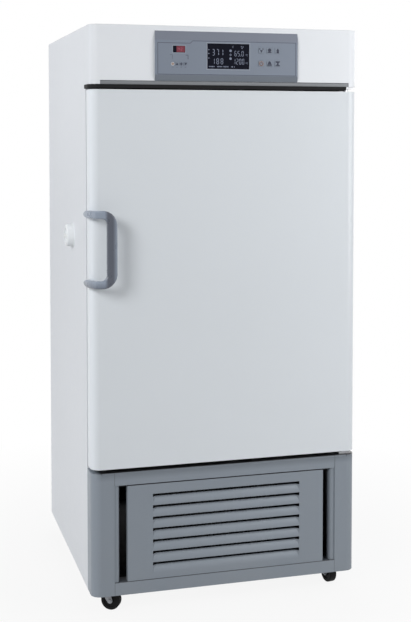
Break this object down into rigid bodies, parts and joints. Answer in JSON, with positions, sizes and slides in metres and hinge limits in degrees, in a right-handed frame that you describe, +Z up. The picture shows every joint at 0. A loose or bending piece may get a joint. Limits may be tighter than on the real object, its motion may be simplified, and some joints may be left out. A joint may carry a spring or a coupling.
{
  "type": "cooled incubator",
  "caption": "Upright cooled laboratory incubator with a hinged outer door, glass inner door, wire shelves, louvred machinery base and swivel casters.",
  "frame": {"origin": "middle of the bounding box on the floor", "axes": "+X to the right seen from the front, +Y towards the back, +Z up"},
  "size_m": [0.73, 0.755, 1.486],
  "materials": {
    "white_steel": "satin powder coat, fine texture",
    "door_white": "satin powder coat, fine texture",
    "grey_steel": "satin grey powder coat",
    "grey_plastic": "fine moulded texture",
    "handle_grey": "satin moulded plastic",
    "black_plastic": "satin",
    "display_glass": "gloss window over a dark display",
    "key_plastic": "satin keys",
    "stainless": "brushed stainless steel",
    "zinc_steel": "bright zinc",
    "foam": "rigid insulation foam",
    "frame_plastic": "moulded inner frame",
    "liner_plastic": "vacuum-formed lining",
    "seal_rubber": "soft grey seal",
    "fin_aluminium": "thin fins",
    "frame_aluminium": "satin anodised",
    "pane_glass": "clear tempered glass",
    "copper": "drawn copper pipe",
    "black_steel": "gloss black enamel",
    "dark_steel": "dark galvanised sheet",
    "fan_plastic": "moulded fan",
    "plug_white": "soft white plug",
    "tyre_rubber": "black rubber tread"
  },
  "bodies": {
    "cabinet": {"cabinet_shell": "white_steel", "back_panel": "white_steel", "head_front": "white_steel", "control_fascia": "grey_plastic", "display_window": "display_glass", "limiter_window": "display_glass", "head_trim": "grey_plastic", "head_cap": "black_plastic", "foam_insulation": "foam", "chamber_liner": "stainless", "front_frame": "frame_plastic", "shelf_tracks": "stainless", "shelf_clips": "stainless", "shelf_lower": "stainless", "shelf_middle": "stainless", "shelf_upper": "stainless", "duct_panel": "stainless", "evaporator": "fin_aluminium", "circulation_motor": "dark_steel", "port_sleeve": "frame_plastic", "post_left": "grey_steel", "post_right": "grey_steel", "top_rail": "grey_steel", "bottom_rail": "grey_steel", "base_tray": "grey_steel", "compressor": "black_steel", "condenser": "fin_aluminium", "fan_shroud": "dark_steel", "refrigerant_pipes": "copper", "power_inlet": "black_plastic", "hinge_brackets": "zinc_steel", "cabinet_screws": "zinc_steel"},
    "door": {"door_shell": "door_white", "door_liner": "liner_plastic", "door_seal": "seal_rubber", "door_handle": "handle_grey"},
    "glass_door": {"glass_frame": "frame_aluminium", "glass_pane": "pane_glass", "glass_knob": "frame_aluminium"},
    "louvre_panel": {"louvre_panel": "grey_steel"},
    "port_plug": {"port_plug": "plug_white"},
    "circulation_fan": {"circulation_fan": "fan_plastic"},
    "condenser_fan": {"condenser_fan": "fan_plastic"},
    "key_power": {"key_power": "key_plastic"},
    "key_set": {"key_set": "key_plastic"},
    "key_mode": {"key_mode": "key_plastic"},
    "key_up": {"key_up": "key_plastic"},
    "key_down": {"key_down": "key_plastic"},
    "key_light": {"key_light": "key_plastic"},
    "limit_key_1": {"limit_key_1": "key_plastic"},
    "limit_key_2": {"limit_key_2": "key_plastic"},
    "limit_key_3": {"limit_key_3": "key_plastic"},
    "fork_front_left": {"fork_front_left": "zinc_steel"},
    "wheel_front_left": {"wheel_front_left": "tyre_rubber"},
    "fork_front_right": {"fork_front_right": "zinc_steel"},
    "wheel_front_right": {"wheel_front_right": "tyre_rubber"},
    "fork_rear_left": {"fork_rear_left": "zinc_steel"},
    "wheel_rear_left": {"wheel_rear_left": "tyre_rubber"},
    "fork_rear_right": {"fork_rear_right": "zinc_steel"},
    "wheel_rear_right": {"wheel_rear_right": "tyre_rubber"}
  },
  "joints": [
    {"name": "door_hinge", "type": "hinge", "parent": "cabinet", "child": "door", "pos_m": [0.34, -0.3005, 0.85], "axis": [0, 0, 1], "range_deg": [0, 110]},
    {"name": "glass_hinge", "type": "hinge", "parent": "cabinet", "child": "glass_door", "pos_m": [0.303, -0.2655, 0.855], "axis": [0, 0, 1], "range_deg": [0, 82.5]},
    {"name": "louvre_pull", "type": "slide", "parent": "cabinet", "child": "louvre_panel", "axis": [0, -1, 0], "range_m": [0, 0.12]},
    {"name": "plug_pull", "type": "slide", "parent": "cabinet", "child": "port_plug", "axis": [-1, 0, 0], "range_m": [0, 0.08]},
    {"name": "key_power_press", "type": "slide", "parent": "cabinet", "child": "key_power", "axis": [0, 1, 0], "range_m": [0, 0.0007], "stiffness_N_per_m": 600, "springref_m": -0.0005},
    {"name": "key_set_press", "type": "slide", "parent": "cabinet", "child": "key_set", "axis": [0, 1, 0], "range_m": [0, 0.0007], "stiffness_N_per_m": 600, "springref_m": -0.0005},
    {"name": "key_mode_press", "type": "slide", "parent": "cabinet", "child": "key_mode", "axis": [0, 1, 0], "range_m": [0, 0.0007], "stiffness_N_per_m": 600, "springref_m": -0.0005},
    {"name": "key_up_press", "type": "slide", "parent": "cabinet", "child": "key_up", "axis": [0, 1, 0], "range_m": [0, 0.0007], "stiffness_N_per_m": 600, "springref_m": -0.0005},
    {"name": "key_down_press", "type": "slide", "parent": "cabinet", "child": "key_down", "axis": [0, 1, 0], "range_m": [0, 0.0007], "stiffness_N_per_m": 600, "springref_m": -0.0005},
    {"name": "key_light_press", "type": "slide", "parent": "cabinet", "child": "key_light", "axis": [0, 1, 0], "range_m": [0, 0.0007], "stiffness_N_per_m": 600, "springref_m": -0.0005},
    {"name": "limit_key_1_press", "type": "slide", "parent": "cabinet", "child": "limit_key_1", "axis": [0, 1, 0], "range_m": [0, 0.0007], "stiffness_N_per_m": 600, "springref_m": -0.0005},
    {"name": "limit_key_2_press", "type": "slide", "parent": "cabinet", "child": "limit_key_2", "axis": [0, 1, 0], "range_m": [0, 0.0007], "stiffness_N_per_m": 600, "springref_m": -0.0005},
    {"name": "limit_key_3_press", "type": "slide", "parent": "cabinet", "child": "limit_key_3", "axis": [0, 1, 0], "range_m": [0, 0.0007], "stiffness_N_per_m": 600, "springref_m": -0.0005},
    {"name": "circulation_fan_spin", "type": "hinge", "parent": "cabinet", "child": "circulation_fan", "pos_m": [0.01, 0.2645, 1.15], "axis": [0, 1, 0], "continuous": true},
    {"name": "condenser_fan_spin", "type": "hinge", "parent": "cabinet", "child": "condenser_fan", "pos_m": [0.01, -0.1865, 0.189], "axis": [0, 1, 0], "continuous": true},
    {"name": "swivel_front_left", "type": "hinge", "parent": "cabinet", "child": "fork_front_left", "pos_m": [-0.3, -0.2735, 0.06], "axis": [0, 0, 1], "continuous": true},
    {"name": "roll_front_left", "type": "hinge", "parent": "fork_front_left", "child": "wheel_front_left", "pos_m": [-0.28788, -0.2805, 0.025], "axis": [0.5, 0.866, 0], "continuous": true},
    {"name": "swivel_front_right", "type": "hinge", "parent": "cabinet", "child": "fork_front_right", "pos_m": [0.32, -0.2735, 0.06], "axis": [0, 0, 1], "continuous": true},
    {"name": "roll_front_right", "type": "hinge", "parent": "fork_front_right", "child": "wheel_front_right", "pos_m": [0.31733, -0.25976, 0.025], "axis": [-0.9816, -0.1908, 0], "continuous": true},
    {"name": "swivel_rear_left", "type": "hinge", "parent": "cabinet", "child": "fork_rear_left", "pos_m": [-0.3, 0.3225, 0.06], "axis": [0, 0, 1], "continuous": true},
    {"name": "roll_rear_left", "type": "hinge", "parent": "fork_rear_left", "child": "wheel_rear_left", "pos_m": [-0.3, 0.3365, 0.025], "axis": [-1, 0, 0], "continuous": true},
    {"name": "swivel_rear_right", "type": "hinge", "parent": "cabinet", "child": "fork_rear_right", "pos_m": [0.32, 0.3225, 0.06], "axis": [0, 0, 1], "continuous": true},
    {"name": "roll_rear_right", "type": "hinge", "parent": "fork_rear_right", "child": "wheel_rear_right", "pos_m": [0.32, 0.3365, 0.025], "axis": [-1, 0, 0], "continuous": true}
  ],
  "couplings": [
    {"joint": "glass_hinge", "follows": "door_hinge", "ratio": 0.75}
  ]
}
